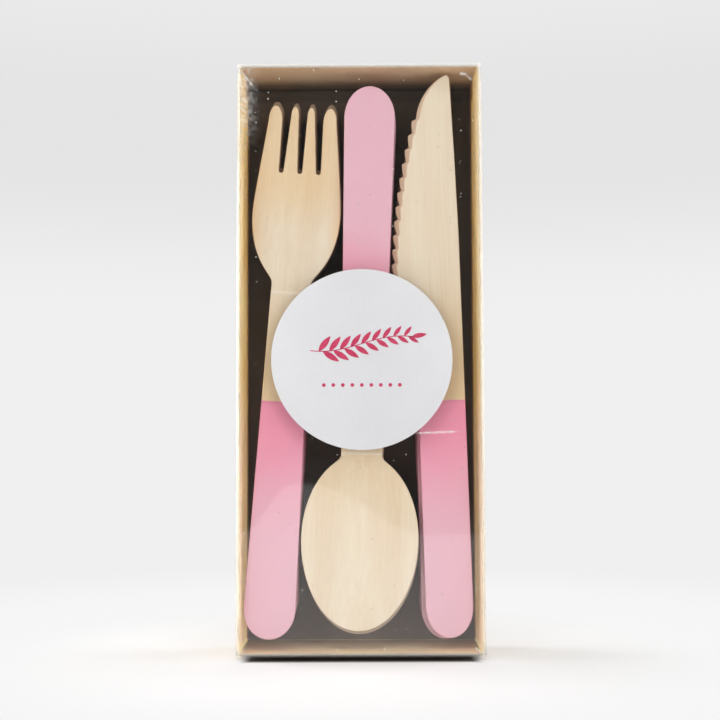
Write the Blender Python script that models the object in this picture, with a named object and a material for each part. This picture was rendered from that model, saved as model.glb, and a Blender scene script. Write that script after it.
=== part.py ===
"""Wooden cutlery pack: a folded kraft tray of dipped forks, spoons and knives under a clear lid.

The pack stands on its short end. X runs across it, Y runs from the clear face (-Y) to the tray's
back (+Y), and Z runs up along the cutlery. The origin is in the middle of the base. Each piece of
cutlery is drawn flat, along Z from its own lowest point, then pressed and laid in its stack.
All sizes are in metres.
"""

import math
from collections import namedtuple

import bmesh
import bpy

MM = 0.001

# What the pieces share
COPIES = 8                    # pieces in each stack
FIT = 0.3 * MM                # room left between pieces that touch
WOOD = 1.8 * MM               # thickness of the wood
PAST_SHOULDER = 1.12          # a shoulder's curve, with the rounded corner where it meets the neck

# Fork, handle down
FORK_LENGTH = 157.6 * MM
FORK_HANDLE = 15.1 * MM       # width of the handle near its end
FORK_HANDLE_END = 8.6 * MM    # height of the handle's round end
FORK_NECK = 11.7 * MM
FORK_NECK_AT = 103.0 * MM     # height of the neck above the handle's end
FORK_HEAD = 26.3 * MM         # width of the head
FORK_WIDEST = 32.6 * MM       # from the tips down to the widest place
FORK_SHOULDER = 21.3 * MM     # length of the curve from the neck to the widest place
FORK_CORNER = 5               # how sharply the shoulder meets the neck
FORK_TAPER = 0.122            # how fast each side draws in above the widest place
FORK_BEND = 4.0 * MM          # how softly that taper begins
SLOT_DEPTH = 20.4 * MM
SLOT_BASE = 1.15 * MM         # width at the bottom of a slot
SLOT_MOUTH = 2.6 * MM         # width between two tips
SLOT_SPREAD = 5.6 * MM        # from the middle slot to the next one, at the bottom
MOUTH_SPREAD = 4.85 * MM      # the same at the tips
OUTER_TIP = 4.2 * MM          # height of the round end of an outer tine
INNER_TIP = 2.4 * MM          # height of the round end of an inner tine
FORK_DIP = 4.0 * MM           # how deep the head is pressed
FORK_DEEPEST = 29.0 * MM      # from the neck up to the deepest place
FORK_EDGE_LIFT = 0.3          # share of the dip that the head's sides keep back

# Spoon, handle up
SPOON_LENGTH = 160.6 * MM
SPOON_HANDLE = 15.1 * MM
SPOON_HANDLE_END = 9.7 * MM
SPOON_NECK = 12.1 * MM
SPOON_NECK_AT = 52.0 * MM     # height of the neck above the bowl's tip
BOWL_WIDTH = 34.2 * MM
BOWL_WIDEST = 26.5 * MM       # height of the widest place above the bowl's tip
BOWL_SHOULDER = 24.8 * MM     # length of the curve from the widest place to the neck
BOWL_CORNER = 6               # how sharply the shoulder meets the neck
BOWL_DIP = 4.3 * MM

# Knife, handle down; the spine is its straight right side
KNIFE_LENGTH = 166.2 * MM
KNIFE_WOOD = 2.0 * MM
KNIFE_HANDLE = 13.8 * MM
KNIFE_HANDLE_END = 9.0 * MM
BLADE_WIDTH = 20.4 * MM
NOSE_FULLNESS = 1.65          # 1 is a straight nose, 2 is an elliptic one
HEEL_AT = 77.0 * MM           # height where the handle starts to widen
HEEL_RISE = 11.0 * MM
TOOTH_ROOM = 13.0 * MM        # from the tip down to the first tooth
TEETH = 14
TOOTH_PITCH = 4.3 * MM
TOOTH_DEPTH = 1.0 * MM
EDGE_FLAT = 12.0 * MM         # straight stretch of the cutting edge above the heel
EDGE_RISE = 8.0 * MM          # how far the cutting edge draws in towards the tip
SPINE_TAPER = 1.0 * MM        # how far the spine draws in towards the tip
SPINE_TAPER_LENGTH = 48.0 * MM
TIP_ROUND = 0.9 * MM

# How the stacks lie in the tray
FORK_SIDE_ROOM = 0.75 * MM    # left wall to the fork's handle
FORK_HEAD_ROOM = 2.9 * MM     # left wall to the fork's head
KNIFE_SIDE_ROOM = 1.9 * MM    # knife's handle to the right wall
HANDLE_ROOM = 0.2 * MM        # fork's head to the spoon's handle, beyond what they need
BLADE_ROOM = 0.4 * MM         # spoon's handle to the knife's blade, beyond what they need
FORK_FOOT_ROOM = 3.4 * MM     # bottom wall to the front fork
SPOON_FOOT_ROOM = 5.7 * MM
KNIFE_FOOT_ROOM = 3.6 * MM
HEAD_ROOM = 1.1 * MM          # longest piece to the top wall
FRONT_ROOM = 3.9 * MM         # deepest stack to the lid
FORK_SLIP = 0.35 * MM         # how far right the forks behind the front one lie
FORK_SLIP_UP = 2.0 * MM
SPOON_SLIP = 0.3 * MM
SPOON_SLIP_DOWN = 1.0 * MM
KNIFE_SLIP_FOOT = 1.2 * MM    # how far left the other knives' handles lie
KNIFE_SLIP_TIP = 0.6 * MM     # how far right their tips lie
KNIFE_SLIP_DOWN = 0.6 * MM
KNIFE_LOOSE = 0.3 * MM        # room between two knives beyond FIT

# Packaging
BOARD = 0.5 * MM              # thickness of the kraft board
BOARD_FOLD = 0.9 * MM         # outer radius of the tray's folds
FILM = 0.3 * MM               # thickness of the clear film
FILM_FOLD = 0.7 * MM
SKIRT_SHORT = 1.5 * MM        # from the lid's hem to the tray's back
LABEL_WIDTH = 52.6 * MM
LABEL_THICK = 0.25 * MM
LABEL_RIGHT = 0.5 * MM        # label's middle, right of the pack's middle
LABEL_BELOW = 1.0 * MM        # label's middle, below the pack's middle

Stack = namedtuple("Stack", "foot_x foot_z lean")
Slip = namedtuple("Slip", "right up turn")


def spaced(start, stop, steps):
    """Evenly spaced values from start to stop, both included."""
    return [start + (stop - start) * i / steps for i in range(steps + 1)]


def arc(centre_x, centre_z, radius_x, radius_z, start, stop, steps):
    """Points on an ellipse from start to stop, in degrees, both included."""
    angles = [math.radians(a) for a in spaced(start, stop, steps)]
    return [(centre_x + radius_x * math.cos(a), centre_z + radius_z * math.sin(a)) for a in angles]


def half_cosine(t):
    """Smooth rise from 0 at t = 0 to 1 at t = 1, and down again to 0 at t = 2."""
    return (1 - math.cos(math.pi * t)) / 2


def blend(a, b, sharpness):
    """The larger of two widths, with the corner between them rounded."""
    return (a ** sharpness + b ** sharpness) ** (1 / sharpness)


def ellipse_side(distance, length):
    """Half width of an ellipse of half width 1, at a distance from its middle."""
    return math.sqrt(max(0.0, 1 - (distance / length) ** 2))


def mirrored(right):
    """Whole outline from its right half, which starts and ends on the middle line."""
    return right + [(-x, z) for x, z in reversed(right[1:-1])]


def fork_handle_half(z):
    share = (z - FORK_HANDLE_END) / (FORK_NECK_AT - FORK_HANDLE_END)
    return (FORK_HANDLE + (FORK_NECK - FORK_HANDLE) * share) / 2


def fork_half_width(z):
    """Half width of the fork's handle, shoulder and head at height z."""
    above = z - (FORK_LENGTH - FORK_WIDEST)
    if above < 0:
        head = FORK_HEAD / 2 * ellipse_side(above, FORK_SHOULDER)
    else:
        head = FORK_HEAD / 2 - FORK_TAPER * (math.hypot(above, FORK_BEND) - FORK_BEND)
    return blend(fork_handle_half(z), head, FORK_CORNER)


def fork_tines():
    """Right half of the tips and slots, from the head's side in to the middle slot."""
    slot_z = FORK_LENGTH - SLOT_DEPTH
    outer_z = FORK_LENGTH - OUTER_TIP
    inner_z = FORK_LENGTH - INNER_TIP
    side = fork_half_width(outer_z)
    mouth_outer = MOUTH_SPREAD + SLOT_MOUTH / 2
    mouth_inner = MOUTH_SPREAD - SLOT_MOUTH / 2
    middle = SLOT_MOUTH / 2
    points = arc((side + mouth_outer) / 2, outer_z, (side - mouth_outer) / 2, OUTER_TIP, 0, 180, 5)
    points += arc(SLOT_SPREAD, slot_z, SLOT_BASE / 2, SLOT_BASE / 2, 0, -180, 2)
    points += arc((mouth_inner + middle) / 2, inner_z, (mouth_inner - middle) / 2, INNER_TIP, 0, 180, 4)
    points += arc(0, slot_z, SLOT_BASE / 2, SLOT_BASE / 2, 0, -90, 1)
    return points


def fork_outline():
    widest = FORK_LENGTH - FORK_WIDEST
    right = arc(0, FORK_HANDLE_END, FORK_HANDLE / 2, FORK_HANDLE_END, -90, 0, 5)
    heights = spaced(widest - FORK_SHOULDER * PAST_SHOULDER, widest, 8)
    heights += spaced(widest, FORK_LENGTH - OUTER_TIP, 4)[1:-1]
    right += [(fork_half_width(z), z) for z in heights]
    right += fork_tines()
    return mirrored(right)


def fork_dip(x, z):
    """How far the fork's head is pressed back at a place on it."""
    along = z - FORK_NECK_AT
    if along <= 0:
        return 0.0
    if along < FORK_DEEPEST:
        depth = FORK_DIP * half_cosine(along / FORK_DEEPEST)
    else:
        depth = FORK_DIP * half_cosine(1 + (along - FORK_DEEPEST) / (2 * FORK_DEEPEST))
    return depth * (1 - FORK_EDGE_LIFT * (2 * x / FORK_HEAD) ** 2)


def spoon_handle_half(z):
    share = (z - SPOON_NECK_AT) / (SPOON_LENGTH - SPOON_HANDLE_END - SPOON_NECK_AT)
    return (SPOON_NECK + (SPOON_HANDLE - SPOON_NECK) * share) / 2


def spoon_half_width(z):
    """Half width of the spoon's bowl and handle at height z."""
    above = z - BOWL_WIDEST
    if above < 0:
        return BOWL_WIDTH / 2 * ellipse_side(above, BOWL_WIDEST)
    bowl = BOWL_WIDTH / 2 * ellipse_side(above, BOWL_SHOULDER)
    return blend(spoon_handle_half(z), bowl, BOWL_CORNER)


def spoon_outline():
    end_z = SPOON_LENGTH - SPOON_HANDLE_END
    right = arc(0, BOWL_WIDEST, BOWL_WIDTH / 2, BOWL_WIDEST, -90, 0, 8)
    heights = spaced(BOWL_WIDEST, BOWL_WIDEST + BOWL_SHOULDER * PAST_SHOULDER, 9)[1:]
    right += [(spoon_half_width(z), z) for z in heights]
    right += arc(0, end_z, SPOON_HANDLE / 2, SPOON_HANDLE_END, 0, 90, 5)
    return mirrored(right)


def spoon_dip(x, z):
    """How far the spoon's bowl is pressed back at a place on it."""
    along = (z - BOWL_WIDEST) / (BOWL_WIDEST if z < BOWL_WIDEST else BOWL_SHOULDER * PAST_SHOULDER)
    across = 2 * x / BOWL_WIDTH
    inside = max(0.0, 1 - along ** 2 - across ** 2)
    return BOWL_DIP * inside ** 1.5


def cutting_edge(z):
    """Place of the knife's cutting edge across the blade at height z, at a tooth's crest."""
    crest = KNIFE_HANDLE / 2 - BLADE_WIDTH
    flat_top = HEEL_AT + HEEL_RISE + EDGE_FLAT
    share = max(0.0, z - flat_top) / (KNIFE_LENGTH - TOOTH_ROOM - flat_top)
    return crest + EDGE_RISE * share ** 2


def knife_teeth():
    """Scalloped cutting edge, from the tip's side down, three points to a tooth."""
    top = KNIFE_LENGTH - TOOTH_ROOM
    points = []
    for step in range(3 * TEETH + 1):
        z = top - TOOTH_PITCH * step / 3
        notch = 1 - math.sin(math.pi * (step % 3) / 3)
        points.append((cutting_edge(z) + TOOTH_DEPTH * notch, z))
    return points


def knife_nose():
    """Curve from the tip down to the first tooth, on the cutting side."""
    spine = KNIFE_HANDLE / 2 - SPINE_TAPER
    base_z = KNIFE_LENGTH - TOOTH_ROOM
    base_x = cutting_edge(base_z) + TOOTH_DEPTH
    points = []
    for angle in spaced(82, 0, 7)[:-1]:
        across = math.cos(math.radians(angle)) ** (2 / NOSE_FULLNESS)
        rise = math.sin(math.radians(angle)) ** (2 / NOSE_FULLNESS)
        points.append((spine - (spine - base_x) * across, base_z + TOOTH_ROOM * rise))
    return points


def knife_outline():
    half = KNIFE_HANDLE / 2
    heel = [HEEL_AT + HEEL_RISE * (1 - t) for t in spaced(0, 1, 5)]
    points = arc(0, KNIFE_HANDLE_END, half, KNIFE_HANDLE_END, -90, 0, 5)
    points.append((half, KNIFE_LENGTH - SPINE_TAPER_LENGTH))
    points.append((half - SPINE_TAPER, KNIFE_LENGTH - TIP_ROUND))
    points += knife_nose()
    points += knife_teeth()
    for z in heel:
        widening = half_cosine((z - HEEL_AT) / HEEL_RISE)
        points.append((-half - (BLADE_WIDTH - KNIFE_HANDLE) * widening, z))
    points += arc(0, KNIFE_HANDLE_END, half, KNIFE_HANDLE_END, 180, 270, 5)[:-1]
    return points


def no_dip(x, z):
    return 0.0


def stack_steps(thickness, steepest, slip, loose):
    """Distance along Y of each copy from the rearmost one, rearmost first.

    The front copy has slipped, so its pressed part rides up on the next copy's steepest place.
    """
    plain = thickness + FIT + loose
    front = plain + steepest * math.hypot(slip.right, slip.up)
    steps = [plain * i for i in range(COPIES - 1)]
    return steps + [steps[-1] + front]


# Layout across the tray, measured from the inside of its left wall and of its bottom wall.
def axis_at(stack, z):
    """Place of a leaning stack's middle line at height z."""
    return stack.foot_x + (z - stack.foot_z) * math.tan(stack.lean)


def stack_through(low_x, low_z, high_x, high_z, foot_z):
    """Stack whose middle line passes through two places."""
    slope = (high_x - low_x) / (high_z - low_z)
    return Stack(low_x - (low_z - foot_z) * slope, foot_z, math.atan(slope))


def lay_forks():
    low_z = FORK_FOOT_ROOM + FORK_HANDLE_END
    high_z = FORK_FOOT_ROOM + FORK_LENGTH - FORK_WIDEST
    low_x = FORK_SIDE_ROOM + FORK_HANDLE / 2
    high_x = FORK_HEAD_ROOM + FORK_HEAD / 2
    return stack_through(low_x, low_z, high_x, high_z, FORK_FOOT_ROOM)


def lay_spoons(forks):
    """Bowl beside the fork's handle, handle beside the fork's head."""
    low_z = SPOON_FOOT_ROOM + BOWL_WIDEST
    high_z = FORK_FOOT_ROOM + FORK_LENGTH - FORK_WIDEST
    room = FIT + FORK_SLIP
    low_x = axis_at(forks, low_z) + fork_handle_half(low_z - FORK_FOOT_ROOM) + room + BOWL_WIDTH / 2
    high_x = axis_at(forks, high_z) + FORK_HEAD / 2 + room + HANDLE_ROOM
    high_x += spoon_handle_half(high_z - SPOON_FOOT_ROOM)
    return stack_through(low_x, low_z, high_x, high_z, SPOON_FOOT_ROOM)


def knife_slip_at(z):
    """How far right the knives behind the front one lie at height z above their foot."""
    share = z / KNIFE_LENGTH
    return (KNIFE_SLIP_TIP + KNIFE_SLIP_FOOT) * share - KNIFE_SLIP_FOOT


def lay_knives(spoons):
    """Handle beside the spoon's bowl, blade beside the spoon's handle."""
    low_z = SPOON_FOOT_ROOM + BOWL_WIDEST
    high_z = KNIFE_FOOT_ROOM + HEEL_AT + HEEL_RISE + EDGE_FLAT
    low_room = FIT + SPOON_SLIP + abs(knife_slip_at(low_z))
    high_room = FIT + SPOON_SLIP + abs(knife_slip_at(high_z)) + BLADE_ROOM
    low_x = axis_at(spoons, low_z) + BOWL_WIDTH / 2 + low_room + KNIFE_HANDLE / 2
    high_x = axis_at(spoons, high_z) + spoon_handle_half(high_z - SPOON_FOOT_ROOM) + high_room
    high_x += BLADE_WIDTH - KNIFE_HANDLE / 2
    return stack_through(low_x, low_z, high_x, high_z, KNIFE_FOOT_ROOM)


FORKS = lay_forks()
SPOONS = lay_spoons(FORKS)
KNIVES = lay_knives(SPOONS)

FORK_SLIPS = Slip(FORK_SLIP, FORK_SLIP_UP, 0.0)
SPOON_SLIPS = Slip(SPOON_SLIP, -SPOON_SLIP_DOWN, 0.0)
KNIFE_TURN = math.atan((KNIFE_SLIP_TIP + KNIFE_SLIP_FOOT) / KNIFE_LENGTH)
KNIFE_SLIPS = Slip(-KNIFE_SLIP_FOOT, -KNIFE_SLIP_DOWN, KNIFE_TURN)

FORK_STEEPEST = math.pi / 2 * FORK_DIP / FORK_DEEPEST
SPOON_STEEPEST = 3 * BOWL_DIP / BOWL_WIDTH
FORK_STEPS = stack_steps(WOOD, FORK_STEEPEST, FORK_SLIPS, 0.0)
SPOON_STEPS = stack_steps(WOOD, SPOON_STEEPEST, SPOON_SLIPS, 0.0)
KNIFE_STEPS = stack_steps(KNIFE_WOOD, 0.0, KNIFE_SLIPS, KNIFE_LOOSE)

# Inside of the tray, then its outside and the lid's
INNER_WIDTH = axis_at(KNIVES, KNIFE_FOOT_ROOM) + KNIFE_HANDLE / 2 + KNIFE_SIDE_ROOM
INNER_HEIGHT = HEAD_ROOM + max(
    FORK_FOOT_ROOM + FORK_LENGTH + FORK_SLIP_UP,
    SPOON_FOOT_ROOM + SPOON_LENGTH,
    KNIFE_FOOT_ROOM + KNIFE_LENGTH,
)
STACK_DEPTH = FIT + max(
    WOOD + FORK_DIP + FORK_STEPS[-1],
    WOOD + BOWL_DIP + SPOON_STEPS[-1],
    KNIFE_WOOD + KNIFE_STEPS[-1],
)
TRAY_WIDTH = INNER_WIDTH + 2 * BOARD
TRAY_HEIGHT = INNER_HEIGHT + 2 * BOARD
LID_WIDTH = TRAY_WIDTH + 2 * (FIT + FILM)
LID_HEIGHT = TRAY_HEIGHT + 2 * (FIT + FILM)
PACK_DEPTH = FILM + FRONT_ROOM + STACK_DEPTH + BOARD

BACK_Y = (PACK_DEPTH + FIT + LABEL_THICK) / 2
LID_FACE_Y = BACK_Y - PACK_DEPTH
RIM_Y = LID_FACE_Y + FILM + FIT
INNER_LEFT = -INNER_WIDTH / 2
INNER_FLOOR = FILM + FIT + BOARD
INNER_BACK_Y = BACK_Y - BOARD


def clear_scene():
    for old in list(bpy.data.objects):
        bpy.data.objects.remove(old, do_unlink=True)


def principled(name, colour, roughness, alpha=1.0):
    material = bpy.data.materials.new(name)
    material.use_nodes = True
    shader = material.node_tree.nodes["Principled BSDF"]
    shader.inputs["Base Color"].default_value = (*colour, 1.0)
    shader.inputs["Roughness"].default_value = roughness
    shader.inputs["Metallic"].default_value = 0.0
    shader.inputs["Alpha"].default_value = alpha
    material.diffuse_color = (*colour, alpha)
    return material


def kraft_board():
    return principled("kraft_board", (0.56, 0.34, 0.17), 0.85)


def clear_film():
    return principled("clear_film", (0.95, 0.96, 0.97), 0.06, alpha=0.25)


def label_paper():
    return principled("label_paper", (0.86, 0.85, 0.86), 0.5)


def dipped_wood():
    return principled("dipped_wood", (0.80, 0.62, 0.42), 0.7)


def object_from(name, bm, material):
    bmesh.ops.recalc_face_normals(bm, faces=bm.faces[:])
    mesh = bpy.data.meshes.new(name)
    bm.to_mesh(mesh)
    bm.free()
    mesh.materials.append(material)
    piece = bpy.data.objects.new(name, mesh)
    bpy.context.scene.collection.objects.link(piece)
    return piece


def slice_sheet(bm, place, normal):
    whole = bm.verts[:] + bm.edges[:] + bm.faces[:]
    bmesh.ops.bisect_plane(bm, geom=whole, dist=0.00001, plane_co=place, plane_no=normal)


def pressed_mesh(name, outline, rows, columns, thickness, dip, material):
    """Sheet cut to the outline, thickened to the back and pressed into shape."""
    bm = bmesh.new()
    bm.faces.new([bm.verts.new((x, 0, z)) for x, z in outline])
    for z in rows:
        slice_sheet(bm, (0, 0, z), (0, 0, 1))
    for x in columns:
        slice_sheet(bm, (x, 0, 0), (1, 0, 0))
    bmesh.ops.triangulate(bm, faces=bm.faces[:])
    grown = bmesh.ops.extrude_face_region(bm, geom=bm.faces[:])
    back = [item for item in grown["geom"] if isinstance(item, bmesh.types.BMVert)]
    bmesh.ops.translate(bm, vec=(0, thickness, 0), verts=back)
    for vert in bm.verts:
        vert.co.y += dip(vert.co.x, vert.co.z)
    piece = object_from(name, bm, material)
    mesh = piece.data
    bpy.data.objects.remove(piece)
    return mesh


def fork_mesh(material):
    slot_z = FORK_LENGTH - SLOT_DEPTH
    rows = spaced(FORK_NECK_AT, FORK_NECK_AT + FORK_DEEPEST, 6)
    rows += spaced(slot_z, FORK_LENGTH - OUTER_TIP, 2)
    return pressed_mesh("fork", fork_outline(), rows, [0.0], WOOD, fork_dip, material)


def spoon_mesh(material):
    rows = spaced(0.0, BOWL_WIDEST, 6)[1:]
    rows += spaced(BOWL_WIDEST, BOWL_WIDEST + BOWL_SHOULDER * PAST_SHOULDER, 5)[1:]
    columns = [BOWL_WIDTH / 2 * share for share in (-0.6, 0.0, 0.6)]
    return pressed_mesh("spoon", spoon_outline(), rows, columns, WOOD, spoon_dip, material)


def knife_mesh(material):
    rows = [HEEL_AT, HEEL_AT + HEEL_RISE]
    return pressed_mesh("knife", knife_outline(), rows, [], KNIFE_WOOD, no_dip, material)


def lay_stack(kind, mesh, stack, slip, steps, depth):
    """Copies of one piece in a stack, number 1 in front; depth is its thickness and dip."""
    rear_y = INNER_BACK_Y - FIT - depth
    for number in range(1, COPIES + 1):
        front = number == 1
        piece = bpy.data.objects.new(f"{kind}_{number}", mesh)
        right = 0.0 if front else slip.right
        up = 0.0 if front else slip.up
        x = INNER_LEFT + stack.foot_x + right
        z = INNER_FLOOR + stack.foot_z + up
        piece.location = (x, rear_y - steps[COPIES - number], z)
        piece.rotation_euler = (0.0, stack.lean + (0.0 if front else slip.turn), 0.0)
        bpy.context.scene.collection.objects.link(piece)


def folded_box(name, width, height, front_y, back_y, sheet, fold, open_front, material):
    """Five walls folded from one sheet, standing on its short wall, open at one big face."""
    bm = bmesh.new()
    bmesh.ops.create_cube(bm, size=1.0)
    for vert in bm.verts:
        vert.co.x *= width
        vert.co.y = front_y if vert.co.y < 0 else back_y
        vert.co.z *= height
    open_y = front_y if open_front else back_y
    open_faces = [face for face in bm.faces if all(abs(v.co.y - open_y) < MM for v in face.verts)]
    bmesh.ops.delete(bm, geom=open_faces, context="FACES_ONLY")
    folds = [edge for edge in bm.edges if len(edge.link_faces) == 2]
    bmesh.ops.bevel(bm, geom=folds, offset=fold, segments=3, profile=0.5, affect="EDGES")
    box = object_from(name, bm, material)
    walls = box.modifiers.new("walls", "SOLIDIFY")
    walls.thickness = sheet
    walls.offset = -1.0
    walls.use_even_offset = True
    walls.use_rim = True
    return box


def kraft_tray():
    tray = folded_box(
        "kraft_tray", TRAY_WIDTH, TRAY_HEIGHT, RIM_Y, BACK_Y, BOARD, BOARD_FOLD, True, kraft_board()
    )
    tray.location.z = FILM + FIT + TRAY_HEIGHT / 2
    return tray


def clear_lid(slide):
    hem_y = BACK_Y - SKIRT_SHORT
    lid = folded_box(
        "clear_lid", LID_WIDTH, LID_HEIGHT, LID_FACE_Y, hem_y, FILM, FILM_FOLD, False, clear_film()
    )
    lid.location.z = LID_HEIGHT / 2
    lid.parent = slide
    return lid


def round_label(slide):
    bm = bmesh.new()
    ring = arc(0.0, 0.0, LABEL_WIDTH / 2, LABEL_WIDTH / 2, 0, 360, 48)[:-1]
    face = bm.faces.new([bm.verts.new((x, 0, z)) for x, z in ring])
    bmesh.ops.triangulate(bm, faces=[face])
    grown = bmesh.ops.extrude_face_region(bm, geom=bm.faces[:])
    back = [item for item in grown["geom"] if isinstance(item, bmesh.types.BMVert)]
    bmesh.ops.translate(bm, vec=(0, LABEL_THICK, 0), verts=back)
    label = object_from("round_label", bm, label_paper())
    label.location = (LABEL_RIGHT, LID_FACE_Y - FIT - LABEL_THICK, LID_HEIGHT / 2 - LABEL_BELOW)
    label.parent = slide
    return label


def lid_slide():
    """Parent of what lifts off with the lid; it slides off along -Y."""
    slide = bpy.data.objects.new("lid_slide", None)
    bpy.context.scene.collection.objects.link(slide)
    return slide


def main():
    clear_scene()
    kraft_tray()
    slide = lid_slide()
    clear_lid(slide)
    round_label(slide)
    wood = dipped_wood()
    lay_stack("fork", fork_mesh(wood), FORKS, FORK_SLIPS, FORK_STEPS, WOOD + FORK_DIP)
    lay_stack("spoon", spoon_mesh(wood), SPOONS, SPOON_SLIPS, SPOON_STEPS, WOOD + BOWL_DIP)
    lay_stack("knife", knife_mesh(wood), KNIVES, KNIFE_SLIPS, KNIFE_STEPS, KNIFE_WOOD)


main()
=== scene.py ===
"""Looks of the wooden cutlery pack: dipped forks, spoons and knives in a kraft tray, clear lid on.

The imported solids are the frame. Each of them gets a finer piece in its place here, with its finish.
Every piece of cutlery is made flat, along Z from its own lowest point, then pressed and laid where
its solid lies. Sizes are in metres, and colours are linear.
"""

import math
import random
from collections import namedtuple

import bmesh
import bpy
from mathutils import Matrix, Vector


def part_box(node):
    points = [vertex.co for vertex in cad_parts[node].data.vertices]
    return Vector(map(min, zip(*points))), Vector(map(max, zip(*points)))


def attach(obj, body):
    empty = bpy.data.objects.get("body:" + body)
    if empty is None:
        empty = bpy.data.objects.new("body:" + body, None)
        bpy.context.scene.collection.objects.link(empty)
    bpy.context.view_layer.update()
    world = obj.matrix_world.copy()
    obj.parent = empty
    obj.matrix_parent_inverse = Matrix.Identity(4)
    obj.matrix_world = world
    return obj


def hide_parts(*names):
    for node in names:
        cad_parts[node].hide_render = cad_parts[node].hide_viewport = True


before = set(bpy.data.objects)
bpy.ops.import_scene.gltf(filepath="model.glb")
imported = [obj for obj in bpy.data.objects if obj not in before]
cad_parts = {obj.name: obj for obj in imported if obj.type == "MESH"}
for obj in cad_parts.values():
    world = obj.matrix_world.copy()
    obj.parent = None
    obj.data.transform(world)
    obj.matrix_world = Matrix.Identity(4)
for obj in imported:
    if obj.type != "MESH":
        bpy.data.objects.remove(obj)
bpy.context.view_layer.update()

MM = 0.001
COPIES = 8                    # pieces in each stack

# Camera, as it stood for the photograph
CAMERA_AT = (0.0013, -0.370, 0.0624)
CAMERA_PITCH = 3.67           # degrees up
CAMERA_TURN = -0.21
CAMERA_ROLL = -0.2
CAMERA_LENS = 61.7            # on a sensor 36 mm wide

# Fork, handle down
WOOD = 1.8 * MM
FORK_LENGTH = 157.6 * MM
FORK_HANDLE = 15.1 * MM
FORK_HANDLE_END = 8.6 * MM
FORK_NECK = 11.7 * MM
FORK_NECK_AT = 103.0 * MM
FORK_HEAD = 26.3 * MM
FORK_WIDEST = 32.6 * MM
FORK_SHOULDER = 21.3 * MM
FORK_CORNER = 5
FORK_TAPER = 0.122
FORK_BEND = 4.0 * MM
SLOT_DEPTH = 19.2 * MM
SLOT_BASE = 1.4 * MM
SLOT_MOUTH = 2.6 * MM
SLOT_SPREAD = 5.6 * MM
MOUTH_SPREAD = 4.85 * MM
OUTER_TIP = 4.2 * MM
INNER_TIP = 2.4 * MM
FORK_DIP = 4.0 * MM
FORK_DEEPEST = 29.0 * MM
FORK_EDGE_LIFT = 0.3
FORK_DIE_LINE = 101.2 * MM    # where the press leaves a faint step across the neck

# Spoon, handle up
SPOON_LENGTH = 160.6 * MM
SPOON_HANDLE = 15.1 * MM
SPOON_HANDLE_END = 9.7 * MM
SPOON_NECK = 12.1 * MM
SPOON_NECK_AT = 52.0 * MM
BOWL_WIDTH = 34.2 * MM
BOWL_WIDEST = 26.5 * MM
BOWL_SHOULDER = 24.8 * MM
BOWL_CORNER = 9
BOWL_DIP = 4.3 * MM
SPOON_DIE_LINE = 51.4 * MM

# Knife, handle down
KNIFE_LENGTH = 166.2 * MM
KNIFE_WOOD = 2.0 * MM
KNIFE_HANDLE = 13.8 * MM
KNIFE_HANDLE_END = 9.0 * MM
BLADE_WIDTH = 20.4 * MM
NOSE_FULLNESS = 1.65
HEEL_AT = 77.0 * MM
HEEL_RISE = 11.0 * MM
TOOTH_ROOM = 13.0 * MM
TEETH = 14
TOOTH_PITCH = 4.3 * MM
TOOTH_DEPTH = 1.15 * MM
EDGE_FLAT = 12.0 * MM
EDGE_RISE = 8.0 * MM
SPINE_TAPER = 1.0 * MM
SPINE_TAPER_LENGTH = 48.0 * MM
TIP_ROUND = 0.9 * MM
GRIND_WIDTH = 1.5 * MM        # width of the ground bevel behind the teeth
GRIND_DEPTH = 1.1 * MM

EDGE_ROUND = 0.3 * MM         # how far the cut edges are tumbled round
DIP_LENGTH = 69.0 * MM        # painted length of each handle
PAST_SHOULDER = 1.12

# Where each stack stands: foot of the front piece, lean in radians, slip of the others
Stack = namedtuple("Stack", "foot_x foot_z lean right up turn")
FORKS = Stack(-27.1302 * MM, 4.5 * MM, 0.066483, 0.35 * MM, 2.0 * MM, 0.0)
SPOONS = Stack(-0.9902 * MM, 6.8 * MM, 0.026928, 0.3 * MM, -1.0 * MM, 0.0)
KNIVES = Stack(26.0576 * MM, 4.7 * MM, -0.030858, -1.2 * MM, -0.6 * MM, 0.01083)
ASTRAY = 0.1 * MM             # how far each piece behind the front one strays in its stack
ASTRAY_UP = 0.25 * MM
ASTRAY_TURN = 0.0012

# Looks of the dipped pieces. Painted shade beside the label browns the wood before the dip's line,
# from and to, and how much. Facets are how squarely a cut edge and a face look to the front.
# The shaded head is how strongly the fork's head is painted darker as shade.
Dip = namedtuple("Dip", "name line_at handle_up fade_length facets tan hot_head die_line")
LABEL_SHADE = (-42.0 * MM, -8.0 * MM, 0.85)
SPOON_LABEL_SHADE = (-78.0 * MM, -25.0 * MM, 0.55)
LONG_FADE = 45.0 * MM         # how far the deeper pink, a painted shade, runs from the dip's line
SHORT_FADE = 31.0 * MM
CUT_FACETS = (0.25, 0.75)
GROUND_FACETS = (0.8, 0.95)   # on the knife, the ground bevel counts as a cut edge
SPOON_DIP = SPOON_LENGTH - DIP_LENGTH
NO_LINE = -1.0
FORK_LOOK = Dip("dipped_fork_wood", DIP_LENGTH, False, LONG_FADE, CUT_FACETS, LABEL_SHADE, 1.0, FORK_DIE_LINE)
SPOON_LOOK = Dip(
    "dipped_spoon_wood", SPOON_DIP, True, SHORT_FADE, CUT_FACETS, SPOON_LABEL_SHADE, 0.0, SPOON_DIE_LINE
)
KNIFE_LOOK = Dip("dipped_knife_wood", DIP_LENGTH, False, LONG_FADE, GROUND_FACETS, LABEL_SHADE, 0.0, NO_LINE)

# Packaging
BOARD = 0.5 * MM
BOARD_FOLD = 0.9 * MM
GLOW_DEPTH = 2.0 * MM         # how far light spreads inside the board
FILM = 0.3 * MM
FILM_FOLD = 0.7 * MM
FILM_BULGE = 1.1 * MM         # how far the film's face bows out at the left, above its foot
FILM_SHEEN = 0.043            # share of light that the film throws back head-on
LABEL_THICK = 0.25 * MM

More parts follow.
